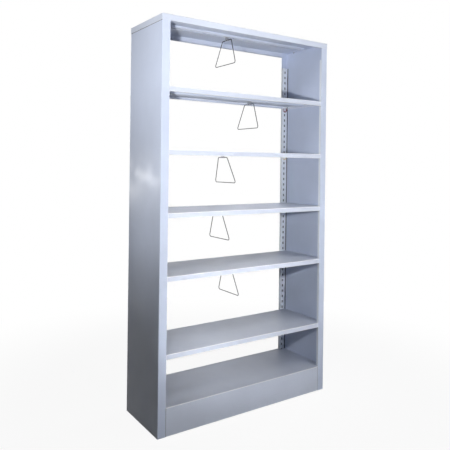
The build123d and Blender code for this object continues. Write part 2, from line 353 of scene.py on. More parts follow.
@dataclass(frozen=True)
class PowderCoat:
    """Satin powder coat on folded sheet steel, with painted shade where other parts shade it.

    A tone is a factor on the paint's colour, and a share says how much of a layer shows.
    """

    name: str
    colour: Colour
    tones: Span = (0.965, 1.035)
    speck_tone: float = 0.82
    speck_share: float = 0.16
    roughness: float = 0.36
    gloss: Span = (-0.05, 0.07)
    orange_peel: float = 0.00004
    sheet_wave: float = 0.0006
    wave: Pattern = Pattern(3.0, 1.0, 0.4)
    wear: Wear = Wear.HANDLED
    # Pale strip along the edges: partly worn coat, partly a painted highlight that stays even on
    # sheltered pieces.
    edge_width: float = 0.0026
    edge_white: float = 0.6
    edge_least: float = 0.6
    edge_share: float = 0.55
    edge_wear: float = 0.35
    marks: Marks = Marks.UPRIGHT
    mark_tone: float = 0.72
    mark_share: float = 0.3
    mark_depth: float = 0.00003
    dust: float = 0.0
    dust_least: float = 0.2
    dust_roughness: float = 0.4
    dust_colour: Colour = (0.49, 0.51, 0.56)
    shine: float = 0.3
    # Painted highlight: a near-white strip along edges and bends, with its share, width and colour.
    painted_highlight: float = 0.0
    painted_highlight_width: float = 0.0045
    painted_highlight_colour: Colour = (0.97, 0.98, 1.0)
    # Painted shade: regions where the colour drops to the shade tone, for shade behind and under
    # other parts.
    shaded_regions: tuple[Region, ...] = ()
    shade_tone: float = 0.16
    fading: Pattern = Pattern(4.0)
    speckle: Pattern = Pattern(420.0, 2.0, 0.6, 0.42)
    scratching: Pattern = Pattern(1.0, 4.0, 0.7, 0.56, 0.74)
    rubbing: Pattern = Pattern(7.0, low=0.5, high=0.72)
    edge_wear_and_highlight: Pattern = Pattern(35.0, low=0.4, high=0.65)
    dulling: Pattern = Pattern(11.0, 4.0)
    settling: Pattern = Pattern(16.0, 5.0, 0.65, 0.35)
    peel: Pattern = Pattern(750.0, 2.0, 0.5)

    def material(self) -> bpy.types.Material:
        """Builds the paint: cloudy colour, orange peel, a wavy sheet, marks, dust, pale edges that
        are part wear and part painted highlight, painted highlights on bends and painted shade.

        Returns:
            The paint's material.
        """
        graph = ShaderGraph(self.name)
        use = self.wear.value
        colour = graph.shaded(graph.clouds(self.fading), self.colour, self.tones)
        specks = graph.times(graph.clouds(self.speckle), self.speck_share)
        colour = graph.blend(specks, colour, rgba(self.colour, self.speck_tone))

        lines = graph.streaks(self.marks, self.scratching)
        rubbed = graph.times(lines, graph.clouds(self.rubbing, 0.0, use))
        shown = graph.times(rubbed, self.mark_share)
        colour = graph.blend(shown, colour, rgba(self.colour, self.mark_tone))

        # Pale edge strip, partly wear and partly painted highlight.
        worn_and_highlit = graph.clouds(self.edge_wear_and_highlight, self.edge_least)
        shown = graph.times(graph.times(graph.edges(self.edge_width), worn_and_highlit),
                            self.edge_share + self.edge_wear * use)
        white = self.edge_white
        red, green, blue = (white + part * (1 - white) for part in self.colour)
        colour = graph.blend(shown, colour, rgba((red, green, blue)))
        roughness = graph.sheen(self.dulling, self.roughness, self.gloss)

        if self.dust > 0:
            fallen = graph.clouds(self.settling, self.dust_least, self.dust)
            settled = graph.times(graph.upward(), fallen)
            colour = graph.blend(settled, colour, rgba(self.dust_colour))
            roughness = graph.plus(roughness, graph.times(settled, self.dust_roughness))
        # Painted highlight on edges and bends.
        if self.painted_highlight > 0:
            rim = graph.plus(graph.edges(self.painted_highlight_width), graph.bends())
            colour = graph.blend(graph.times(rim, self.painted_highlight), colour, rgba(self.painted_highlight_colour))
        # Painted shade inside each shaded region.
        for region in self.shaded_regions:
            colour = graph.blend(graph.within(region), colour, rgba(self.colour, self.shade_tone))

        relief = graph.bump(graph.noise(self.wave), self.sheet_wave)
        relief = graph.bump(graph.noise(self.peel), self.orange_peel, relief)
        relief = graph.bump(rubbed, self.mark_depth, relief)
        return graph.finish({
            "Base Color": colour,
            "Roughness": roughness,
            "Normal": relief,
            "Metallic": 0.0,
            "IOR": 1.5,
            "Specular IOR Level": self.shine,
        })


@dataclass(frozen=True)
class ZincPlate:
    """Bright zinc plating on small pressed steel pieces."""

    name: str
    colour: Colour = (0.66, 0.68, 0.71)
    tones: Span = (1.0, 0.72)
    roughness: float = 0.3
    gloss: Span = (-0.08, 0.14)
    dull_colour: Colour = (0.42, 0.43, 0.44)
    dull_share: float = 0.35
    crystals: float = 380.0
    crystal_share: float = 0.35
    grain_depth: float = 0.00002
    dulling: Pattern = Pattern(90.0, 4.0, 0.6, 0.45, 0.75)
    clouding: Pattern = Pattern(160.0, 4.0)
    grain: Pattern = Pattern(1400.0, 2.0)

    def material(self) -> bpy.types.Material:
        """Builds the plating: a faint crystal pattern, dull clouds and fine grain.

        Returns:
            The plating's material.
        """
        graph = ShaderGraph(self.name)
        cells = graph.add("ShaderNodeTexVoronoi", {"Vector": graph.place, "Scale": self.crystals})
        parts = graph.add("ShaderNodeSeparateColor", {"Color": cells.outputs["Color"]})
        shown = graph.times(parts.outputs["Red"], self.crystal_share)
        colour = graph.shaded(shown, self.colour, self.tones)
        dull = graph.times(graph.clouds(self.dulling), self.dull_share)
        return graph.finish({
            "Base Color": graph.blend(dull, colour, rgba(self.dull_colour)),
            "Roughness": graph.sheen(self.clouding, self.roughness, self.gloss),
            "Normal": graph.bump(graph.noise(self.grain), self.grain_depth),
            "Metallic": 1.0,
        })


@dataclass(frozen=True)
class DrawnWire:
    """Drawn steel wire with die lines and a few dark rubbed patches."""

    name: str
    colour: Colour = (0.055, 0.057, 0.062)
    tones: Span = (0.8, 1.15)
    roughness: float = 0.34
    gloss: Span = (-0.06, 0.12)
    tarnish_colour: Colour = (0.042, 0.041, 0.041)
    tarnish_share: float = 0.4
    line_depth: float = 0.00003
    lines: Pattern = Pattern(900.0, roughness=0.7, low=0.35)
    tarnish: Pattern = Pattern(45.0, 4.0, 0.6, 0.55, 0.75)
    dulling: Pattern = Pattern(220.0)

    def material(self) -> bpy.types.Material:
        """Builds the wire's finish.

        Returns:
            The wire's material.
        """
        graph = ShaderGraph(self.name)
        lines = graph.noise(self.lines)
        shown = graph.ramp(lines, self.lines.low, self.lines.high)
        colour = graph.shaded(shown, self.colour, self.tones)
        dark = graph.times(graph.clouds(self.tarnish), self.tarnish_share)
        return graph.finish({
            "Base Color": graph.blend(dark, colour, rgba(self.tarnish_colour)),
            "Roughness": graph.sheen(self.dulling, self.roughness, self.gloss),
            "Normal": graph.bump(lines, self.line_depth),
            "Metallic": 1.0,
        })


@dataclass(frozen=True)
class PaperDot:
    """Matt printed paper of a small round marker, which may have a pale centre."""

    name: str
    colour: Colour
    centre: Colour | None = None
    middle: Point = (0.0, 0.0, 0.0)
    centre_radius: float = 0.0
    centre_blur: float = 0.0002
    tones: Span = (0.9, 1.1)
    roughness: float = 0.72
    fibre_depth: float = 0.00002
    ink: Pattern = Pattern(900.0, roughness=0.6, low=0.35)
    fibres: Pattern = Pattern(1600.0, 2.0)

    def material(self) -> bpy.types.Material:
        """Builds the paper: fibres, uneven ink and, if it has one, a pale centre.

        Returns:
            The paper's material.
        """
        graph = ShaderGraph(self.name)
        colour = graph.shaded(graph.clouds(self.ink), self.colour, self.tones)
        if self.centre is not None:
            away = graph.vectors("DISTANCE", graph.place, self.middle)["Value"]
            inside = graph.ramp(away, self.centre_radius + self.centre_blur,
                                self.centre_radius - self.centre_blur)
            colour = graph.blend(inside, colour, rgba(self.centre))
        relief = graph.bump(graph.noise(self.fibres), self.fibre_depth)
        return graph.finish({
            "Base Color": colour,
            "Roughness": self.roughness,
            "Normal": relief,
            "Metallic": 0.0,
        })


@dataclass(frozen=True)
class StudioFloor:
    """Pale floor that shows white to the camera away from the bookshelf and keeps its shadow."""

    name: str
    colour: Colour = (0.9, 0.9, 0.91)
    tones: Span = (0.98, 1.0)
    dim: Colour = (0.35, 0.35, 0.36)
    glow: float = 0.93
    clear: float = 1.0
    gone: float = 2.3
    relief: float = 0.00005
    mottling: Pattern = Pattern(1.5)
    grit: Pattern = Pattern(300.0)

    def material(self) -> bpy.types.Material:
        """Builds the floor: matt paint, dim in bounced light, plain white where it is only seen.

        Returns:
            The floor's material.
        """
        graph = ShaderGraph(self.name)
        rays = graph.add("ShaderNodeLightPath").outputs
        tone = graph.shaded(graph.noise(self.mottling), self.colour, self.tones)
        tone = graph.blend(rays["Is Camera Ray"], rgba(self.dim), tone)
        relief = graph.bump(graph.noise(self.grit), self.relief)
        matt = graph.add("ShaderNodeBsdfDiffuse", {"Color": tone, "Normal": relief}).outputs["BSDF"]
        white = graph.add("ShaderNodeEmission", {"Color": rgba(WHITE), "Strength": 1.0})
        seen = graph.plus(rays["Is Camera Ray"], rays["Is Glossy Ray"])
        seen = graph.plus(seen, rays["Is Transmission Ray"])
        away = graph.vectors("LENGTH", graph.place)["Value"]
        share = graph.times(seen, graph.ramp(away, self.clear, self.gone, self.glow, 1.0))
        mix = graph.add("ShaderNodeMixShader", {0: share, 1: matt, 2: white.outputs["Emission"]})
        graph.add("ShaderNodeOutputMaterial", {"Surface": mix.outputs["Shader"]})
        return graph.material


# Meshes


class GeometryProgram(NodeGraph):
    """Geometry Nodes tree with named inputs, baked to a plain mesh."""

    KINDS = {
        "size": "NodeSocketFloat",
        "count": "NodeSocketInt",
        "place": "NodeSocketVector",
        "piece": "NodeSocketObject",
        "finish": "NodeSocketMaterial",
    }

    def __init__(self, name: str, inputs: dict[str, str]) -> None:
        """Starts a tree.

        Args:
            name: Name of the tree.
            inputs: For each named input, its kind from KINDS.
        """
        super().__init__(bpy.data.node_groups.new(name, "GeometryNodeTree"))
        face = self.tree.interface
        for way in ("INPUT", "OUTPUT"):
            face.new_socket("Geometry", in_out=way, socket_type="NodeSocketGeometry")
        self.sockets: dict[str, str] = {}
        for label, kind in inputs.items():
            socket = face.new_socket(label, in_out="INPUT", socket_type=self.KINDS[kind])
            self.sockets[label] = socket.identifier
        self.given = self.tree.nodes.new("NodeGroupInput").outputs

    def close(self, geometry: Any) -> None:
        """Ends the tree in real geometry with its finish.

        Args:
            geometry: Output with the shape.
        """
        real = self.add("GeometryNodeRealizeInstances", {"Geometry": geometry}).outputs["Geometry"]
        values = {"Geometry": real, "Material": self.given["Finish"]}
        done = self.add("GeometryNodeSetMaterial", values)
        self.add("NodeGroupOutput", {"Geometry": done.outputs["Geometry"]})

    def bake(self, name: str, seed_mesh: bpy.types.Mesh,
             values: dict[str, Any]) -> bpy.types.Object:
        """Runs the tree on a mesh and keeps the result as a plain mesh.

        Args:
            name: Name of the new piece.
            seed_mesh: Points or edges that the tree starts from.
            values: A value for each named input.

        Returns:
            The piece, with no modifier left on it.
        """
        piece = placed(name, seed_mesh)
        modifier = piece.modifiers.new("program", "NODES")
        modifier.node_group = self.tree
        for label, value in values.items():
            modifier[self.sockets[label]] = value
        mesh = evaluated_mesh(piece)
        piece.modifiers.remove(modifier)
        piece.data = mesh
        mesh.name = name
        if not mesh.materials:
            mesh.materials.append(values["Finish"])
        return piece


def placed(name: str, data: bpy.types.ID) -> bpy.types.Object:
    """Puts new data into the scene.

    Args:
        name: Name of the new object.
        data: Mesh, lamp or camera that it shows.

    Returns:
        The object, at the origin.
    """
    item = bpy.data.objects.new(name, data)
    bpy.context.scene.collection.objects.link(item)
    return item


def evaluated_mesh(piece: bpy.types.Object) -> bpy.types.Mesh:
    """Plain mesh of a piece as its modifiers shape it."""
    state = bpy.context.evaluated_depsgraph_get()
    return bpy.data.meshes.new_from_object(piece.evaluated_get(state), depsgraph=state)


def mesh_of(name: str, form: bmesh.types.BMesh,
            smooth_degrees: float | None = None) -> bpy.types.Mesh:
    """Plain mesh from a bmesh, with its faces pointing outwards.

    Args:
        name: Name of the mesh.
        form: The bmesh, which is freed.
        smooth_degrees: Faces that meet at less than this angle are shaded smooth.

    Returns:
        The new mesh.
    """
    bmesh.ops.remove_doubles(form, verts=form.verts, dist=1e-7)
    bmesh.ops.recalc_face_normals(form, faces=form.faces)
    if smooth_degrees is not None:
        sharpest = math.radians(smooth_degrees)
        for face in form.faces:
            face.smooth = True
        for edge in form.edges:
            edge.smooth = len(edge.link_faces) == 2 and edge.calc_face_angle(0.0) < sharpest
    mesh = bpy.data.meshes.new(name)
    form.to_mesh(mesh)
    form.free()
    return mesh


def circle(steps: int) -> list[float]:
    """Angles of evenly spaced steps round a circle."""
    return [2 * math.pi * step / steps for step in range(steps)]


def ring(form: bmesh.types.BMesh, reaches: list[float], height: float) -> list[Any]:
    """Corners round Z at one height.

    Args:
        form: The bmesh that they go into.
        reaches: How far from Z each corner lies.
        height: Height of them all.

    Returns:
        The new corners.
    """
    return [
        form.verts.new((reach * math.cos(angle), reach * math.sin(angle), height))
        for reach, angle in zip(reaches, circle(len(reaches)))
    ]


def bridge(form: bmesh.types.BMesh, low: list[Any], high: list[Any]) -> None:
    """Closes the band between two rings, of which one may be a single corner.

    Args:
        form: The bmesh that the faces go into.
        low: Corners of the first ring.
        high: Corners of the second ring.
    """
    steps = max(len(low), len(high))
    for step in range(steps):
        after = (step + 1) % steps
        around = (low[step % len(low)], low[after % len(low)],
                  high[after % len(high)], high[step % len(high)])
        form.faces.new(list(dict.fromkeys(around)))


def turned(profile: Iterable[Span], steps: int) -> bmesh.types.BMesh:
    """Solid turned about Z.

    Args:
        profile: Radius and height of each ring, from the bottom up.
        steps: Sides of the solid.

    Returns:
        The closed form.
    """
    form = bmesh.new()
    rings = [ring(form, [radius] * (steps if radius > 0 else 1), height)
             for radius, height in profile]
    for low, high in zip(rings, rings[1:]):
        bridge(form, low, high)
    for end in (rings[0][::-1], rings[-1]):
        if len(end) > 1:
            form.faces.new(end)
    return form


@dataclass(frozen=True)
class Thread:
    """Thread on a shank that hangs down from the origin.

    Start is the height of its first foot above the tip, and margin the length that stays plain.
    """

    radius: float
    length: float
    pitch: float
    depth: float
    start: float
    margin: float

    @property
    def core(self) -> float:
        """Radius at the foot of the thread."""
        return self.radius - self.depth

    def rings(self) -> list[Span]:
        """Runs up the thread from the tip.

        Returns:
            Radius and height of each foot and crest.
        """
        rings = []
        for turn in range(int((self.length - self.margin) / self.pitch)):
            height = -self.length + self.start + turn * self.pitch
            rings += [(self.core, height), (self.radius, height + self.pitch / 2)]
        return rings


def loose_points(name: str, points: Iterable[Point], turns: Iterable[Point]) -> bpy.types.Mesh:
    """Points that a tree puts a piece on.

    Args:
        name: Name of the mesh.
        points: Where each piece goes.
        turns: How each piece is turned, as Euler angles.

    Returns:
        The mesh, with the turns in its attribute called turn.
    """
    mesh = bpy.data.meshes.new(name)
    mesh.from_pydata([tuple(point) for point in points], [], [])
    turn = mesh.attributes.new("turn", "FLOAT_VECTOR", "POINT")
    for item, value in zip(turn.data, turns):
        item.vector = value
    return mesh


def repeat_program() -> GeometryProgram:
    """Makes the tree that puts one piece on every point, turned by the point's own attribute.

    Returns:
        The tree, with the inputs Piece and Finish.
    """
    program = GeometryProgram("repeat_on_points", {"Piece": "piece", "Finish": "finish"})
    shape = program.add("GeometryNodeObjectInfo", {"Object": program.given["Piece"]},
                        transform_space="ORIGINAL")
    turn = program.add("GeometryNodeInputNamedAttribute", {"Name": "turn"},
                       data_type="FLOAT_VECTOR")
    rotation = program.add("FunctionNodeEulerToRotation", {"Euler": turn.outputs["Attribute"]})
    copies = program.add("GeometryNodeInstanceOnPoints", {
        "Points": program.given["Geometry"],
        "Instance": shape.outputs["Geometry"],
        "Rotation": rotation.outputs["Rotation"],
    })
    program.close(copies.outputs["Instances"])
    return program


def wire_program() -> GeometryProgram:
    """Makes the tree that bends a closed outline into a wire loop with one butt weld.

    Returns:
        The tree, with an input for each size of the wire and its weld.
    """
    program = GeometryProgram("bent_wire", {
        "Wire radius": "size",
        "Sides": "count",
        "Step": "size",
        "Arc points": "count",
        "Weld place": "place",
        "Weld reach": "size",
        "Weld swell": "size",
        "Finish": "finish",
    })
    line = program.add("GeometryNodeMeshToCurve", {"Mesh": program.given["Geometry"]})
    bend = program.add("GeometryNodeInputNamedAttribute", {"Name": "bend"}, data_type="FLOAT")
    arcs = program.add("GeometryNodeFilletCurve", {
        "Curve": line.outputs["Curve"],
        "Radius": bend.outputs["Attribute"],
        "Count": program.given["Arc points"],
        "Limit Radius": True,
    }, mode="POLY")
    even = program.add("GeometryNodeResampleCurve", {
        "Curve": arcs.outputs["Curve"],
        "Length": program.given["Step"],
    }, mode="LENGTH")
    here = program.add("GeometryNodeInputPosition").outputs["Position"]
    away = program.add("ShaderNodeVectorMath", {0: here, 1: program.given["Weld place"]},
                       operation="DISTANCE")
    swell = program.add("ShaderNodeMapRange", {
        "Value": away.outputs["Value"],
        "From Min": 0.0,
        "From Max": program.given["Weld reach"],
        "To Min": program.given["Weld swell"],
        "To Max": 1.0,
    }, interpolation_type="SMOOTHSTEP")
    ring = program.add("GeometryNodeCurvePrimitiveCircle", {
        "Resolution": program.given["Sides"],
        "Radius": program.given["Wire radius"],
    })
    tube = program.add("GeometryNodeCurveToMesh", {
        "Curve": even.outputs["Curve"],
        "Profile Curve": ring.outputs["Curve"],
        "Scale": swell.outputs["Result"],
    })
    smooth = program.add("GeometryNodeSetShadeSmooth", {
        "Geometry": tube.outputs["Mesh"],
        "Shade Smooth": True,
    })
    program.close(smooth.outputs["Geometry"])
    return program


def paint(nodes: dict[str, bpy.types.Object], names: Iterable[str],
          material: bpy.types.Material) -> None:
    """Gives carried-over nodes a material.

    Args:
        nodes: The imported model's nodes.
        names: Which of them to dress.
        material: What they wear.
    """
    for name in names:
        piece = nodes[name]
        if not piece.material_slots:
            piece.data.materials.append(material)
        for slot in piece.material_slots:
            slot.material = material
        LOG.info("dressed %s in %s", name, material.name)


# Sub-assemblies


@dataclass
class SidePanels:
    """The two folded end panels."""

    colour: Colour
    nodes: dict[str, bpy.types.Object]
    tint: Colour = (0.965, 0.99, 1.035)
    skirt_shadow_height: float = 0.0022
    skin: float = 0.0005

    def dress(self) -> None:
        """Paints both panels, with painted shade behind the posts and a painted shadow line under
        the cover's edge.
        """
        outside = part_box("right_side_panel")[1]
        post_low, post_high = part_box("right_rear_post")
        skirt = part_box("top_cover")[0].z
        # Painted shade on the web and flanges behind each post, and a painted shadow line on the
        # outside under the cover's skirt.
        shade_behind_post = Region((post_low.x, post_low.y - self.skin, post_low.z),
                             (outside.x - self.skin, outside.y - self.skin, post_high.z))
        shadow_under_cover = Region((outside.x - self.skin, 0.0, skirt - self.skirt_shadow_height),
                             (outside.x + self.skin, outside.y + self.skin, skirt))
        coat = PowderCoat("panel_paint", tinted(self.colour, self.tint), sheet_wave=0.0011,
                          wave=Pattern(2.4, 1.0, 0.4), roughness=0.33, shine=0.17,
                          shaded_regions=(shade_behind_post, shadow_under_cover))
        paint(self.nodes, ("left_side_panel", "right_side_panel"), coat.material())


@dataclass
class Posts:
    """The four slotted channels inside the corners."""

    colour: Colour
    nodes: dict[str, bpy.types.Object]
    # Lighter than the panels' paint: partly a lighter finish, partly painted light for the extra
    # light on the post faces.
    tint: Colour = (1.34, 1.31, 1.2)
    skin: float = 0.0008

    def dress(self) -> None:
        """Paints the posts, with painted shade inside their channels."""
        # Painted shade on the inside of each channel, which shows through the slots.
        low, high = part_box("right_rear_post")
        within = Region((low.x + self.skin, low.y + self.skin, low.z - self.skin),
                        (high.x + self.skin, high.y + self.skin, high.z + self.skin))
        coat = PowderCoat("post_paint", tinted(self.colour, self.tint), sheet_wave=0.0002,
                          wear=Wear.SHELTERED, shaded_regions=(within,))
        names = [f"{side.name.lower()}_{end}_post" for side in Side for end in ("front", "rear")]
        paint(self.nodes, names, coat.material())


@dataclass
class TopCover:
    """The lid, with the studs under it and their nuts."""

    colour: Colour
    nodes: dict[str, bpy.types.Object]
    sheet: float = 0.0012
    thread: Thread = Thread(0.0025, 0.011, 0.0008, 0.0003, start=0.0005, margin=0.0016)
    stud_sides: int = 20
    collar: float = 0.0006
    collar_start: float = 0.001
    chamfer: float = 0.0004
    nut_flats: float = 0.008
    nut_height: float = 0.0045
    nut_steps: int = 36
    nut_rounding: float = 0.985
    bore_play: float = 0.0001
    flange_radius: float = 0.0058
    flange_height: float = 0.0012
    flange_rim: float = 0.6
    slope: float = 0.0005

    def build(self, repeat: GeometryProgram) -> list[bpy.types.Object]:
        """Makes the studs and nuts.

        Args:
            repeat: Tree that puts a piece on every point.

        Returns:
            The two new pieces.
        """
        plate = ZincPlate("nut_plating").material()
        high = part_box("top_cover_studs")[1]
        reach_x, reach_y = high.x - self.thread.radius, high.y - self.thread.radius
        places = [(x * reach_x, y * reach_y, high.z) for x in (-1, 1) for y in (-1, 1)]
        under = [(x, y, z - self.sheet) for x, y, z in places]
        level = [(0.0, 0.0, 0.0)] * len(places)
        stud = bpy.data.objects.new("stud_form", self.stud_form())
        nut = bpy.data.objects.new("nut_form", self.nut_form())
        studs = repeat.bake("cover_stud_set", loose_points("stud_places", places, level),
                            {"Piece": stud, "Finish": plate})
        nuts = repeat.bake("cover_nut_set", loose_points("nut_places", under, level),
                           {"Piece": nut, "Finish": plate})
        for form in (stud, nut):
            bpy.data.objects.remove(form)
        for piece, node in ((studs, "top_cover_studs"), (nuts, "top_cover_nuts")):
            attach(piece, "frame")
            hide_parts(node)
        return [studs, nuts]

    def stud_form(self) -> bpy.types.Mesh:
        """Makes a threaded stud, its root at the origin and its tip below.

        Returns:
            The stud's mesh.
        """
        tip = -self.thread.length
        profile = [
            (0.0, tip),
            (self.thread.core - self.chamfer, tip),
            *self.thread.rings(),
            (self.thread.core, -self.collar_start),
            (self.thread.radius, -self.collar),
            (self.thread.radius, 0.0),
        ]
        return mesh_of("stud_form", turned(profile, self.stud_sides), smooth_degrees=30)

    def nut_form(self) -> bpy.types.Mesh:
        """Makes a hexagon with rounded corners on a round flange, with a bore.

        Returns:
            The nut's mesh.
        """
        form = bmesh.new()
        bore = self.thread.radius + self.bore_play
        sixth = math.pi / 3
        corner = self.nut_flats / 2 / math.cos(sixth / 2)
        outline = [
            (self.flange_radius, 0.0, False),
            (self.flange_radius, -self.flange_height * self.flange_rim, False),
            (self.flange_radius - self.slope, -self.flange_height, False),
            (corner, -self.flange_height, True),
            (corner, -self.nut_height + self.chamfer, True),
            (corner - self.slope, -self.nut_height, True),
            (bore + self.chamfer, -self.nut_height, False),
            (bore, -self.nut_height + self.chamfer, False),
            (bore, 0.0, False),
        ]
        rings = []
        for radius, height, hexagon in outline:
            reaches = [radius] * self.nut_steps
            if hexagon:
                flat = self.nut_flats / 2 * radius / corner
                off_middle = [(angle + sixth / 2) % sixth - sixth / 2
                              for angle in circle(self.nut_steps)]
                reaches = [min(flat / math.cos(angle), radius * self.nut_rounding)
                           for angle in off_middle]
            rings.append(ring(form, reaches, height))
        for low, high in zip(rings, rings[1:] + rings[:1]):
            bridge(form, low, high)
        return mesh_of("nut_form", form, smooth_degrees=25)

    def dress(self) -> None:
        """Paints the cover."""
        coat = PowderCoat("cover_paint", self.colour, sheet_wave=0.0005, dust=0.25,
                          marks=Marks.ALONG_SHELF)
        paint(self.nodes, ("top_cover",), coat.material())


@dataclass
class KickPlates:
    """The two plates under the lowest shelf, with their screws."""

    colour: Colour
    nodes: dict[str, bpy.types.Object]
    head_radius: float = 0.004
    head_height: float = 0.0022
    head_steps: int = 6
    thread: Thread = Thread(0.0024, 0.009, 0.001, 0.0004, start=0.0006, margin=0.0012)
    point_share: float = 0.35
    neck: float = 0.0003
    sides: int = 24
    recess_length: float = 0.005
    recess_width: float = 0.0012
    recess_depth: float = 0.001
    joint_shade: float = 0.002

    def screw_form(self) -> bpy.types.Mesh:
        """Makes a pan-head screw along Z, its head above the origin, with a cross in its crown.

        Returns:
            The screw's mesh.
        """
        tip = -self.thread.length
        profile = [
            (0.0, tip),
            (self.thread.radius * self.point_share, tip),
            *self.thread.rings(),
            (self.thread.core, -self.neck),
            (self.thread.radius, 0.0),
            (self.head_radius, 0.0),
        ]
        for step in range(self.head_steps):
            angle = math.pi / 2 * step / (self.head_steps - 1)
            reach = self.head_radius - self.head_height * 0.5 * (1 - math.cos(angle))
            profile.append((reach, self.head_height * (0.5 + 0.5 * math.sin(angle))))
        solid = mesh_of("screw_form", turned(profile, self.sides), smooth_degrees=35)
        screw = placed("screw_holder", solid)
        tools = []
        crown = Matrix.Translation((0.0, 0.0, self.head_height))
        size = Matrix.Diagonal((self.recess_length, self.recess_width, self.recess_depth * 2, 1.0))
        for turn in (0.0, math.pi / 2):
            bar = bmesh.new()
            place = crown @ Matrix.Rotation(turn, 4, "Z") @ size
            bmesh.ops.create_cube(bar, size=1.0, matrix=place)
            tool = placed("recess", mesh_of("recess", bar))
            cut = screw.modifiers.new("recess", "BOOLEAN")
            cut.operation = "DIFFERENCE"
            cut.solver = "EXACT"
            cut.object = tool
            tools.append(tool)
        mesh = evaluated_mesh(screw)
        for item in (*tools, screw):
            bpy.data.objects.remove(item)
        return mesh

    def build(self, repeat: GeometryProgram) -> list[bpy.types.Object]:
        """Makes the screws of both plates.

        Args:
            repeat: Tree that puts a piece on every point.

        Returns:
            One piece for each plate.
        """
        plate = ZincPlate("screw_plating").material()
        form = bpy.data.objects.new("screw_form", self.screw_form())
        made = []
        for end in ("front", "rear"):
            node = f"{end}_kick_plate_screws"
            low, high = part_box(node)
            middle_y = (low.y + high.y) / 2
            seat = high.x - self.thread.length
            heights = (low.z + self.head_radius, high.z - self.head_radius)
            places = [(side.value * seat, middle_y, z) for side in Side for z in heights]
            turns = [(0.0, -side.value * math.pi / 2, 0.0) for side in Side for _ in heights]
            points = loose_points(f"{end}_screw_places", places, turns)
            piece = repeat.bake(f"{end}_kick_screw_set", points, {"Piece": form, "Finish": plate})
            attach(piece, "frame")
            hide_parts(node)
            made.append(piece)
        bpy.data.objects.remove(form)
        return made

    def dress(self) -> None:
        """Paints the plates, which shoes scuff, with a painted highlight along their edges and
        bends and painted shade along the joint at each flange.
        """
        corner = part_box("front_kick_plate")[1]
        # Painted shade: a dark strip on the plates' ends where they meet the flanges.
        joint_shade = Region((corner.x - self.joint_shade, 0.0, 0.0), (corner.x + self.joint_shade, 1.0, corner.z))
        coat = PowderCoat("kick_paint", self.colour, wear=Wear.KICKED, marks=Marks.ALONG_SHELF,
                          sheet_wave=0.0006, painted_highlight=0.95, shaded_regions=(joint_shade,), shade_tone=0.5)
        paint(self.nodes, ("front_kick_plate", "rear_kick_plate"), coat.material())


@dataclass
class Shelves:
    """The base shelf and the five adjustable ones, with their rails and clips."""

    colour: Colour
    nodes: dict[str, bpy.types.Object]
    levels: tuple[int, ...] = (2, 3, 4, 5, 6)

    def dress(self) -> None:
        """Paints the trays and rails and plates the clips."""
        # The trays carry a painted highlight along their edges and bends.
        tray = PowderCoat("shelf_paint", self.colour, marks=Marks.FRONT_TO_REAR, dust=0.18,
                          sheet_wave=0.0008, shine=0.55, painted_highlight=0.95)
        rail = PowderCoat("rail_paint", self.colour, marks=Marks.ALONG_SHELF, wear=Wear.KICKED,
                          sheet_wave=0.0001)
        plate = ZincPlate("clip_plating", colour=(0.88, 0.89, 0.92), roughness=0.52)
        trays = ["base_shelf"] + [f"shelf_{level}" for level in self.levels]
        paint(self.nodes, trays, tray.material())
        paint(self.nodes, [f"stop_rail_{level}" for level in (1, *self.levels)], rail.material())
        paint(self.nodes, [f"shelf_clips_{level}" for level in self.levels], plate.material())


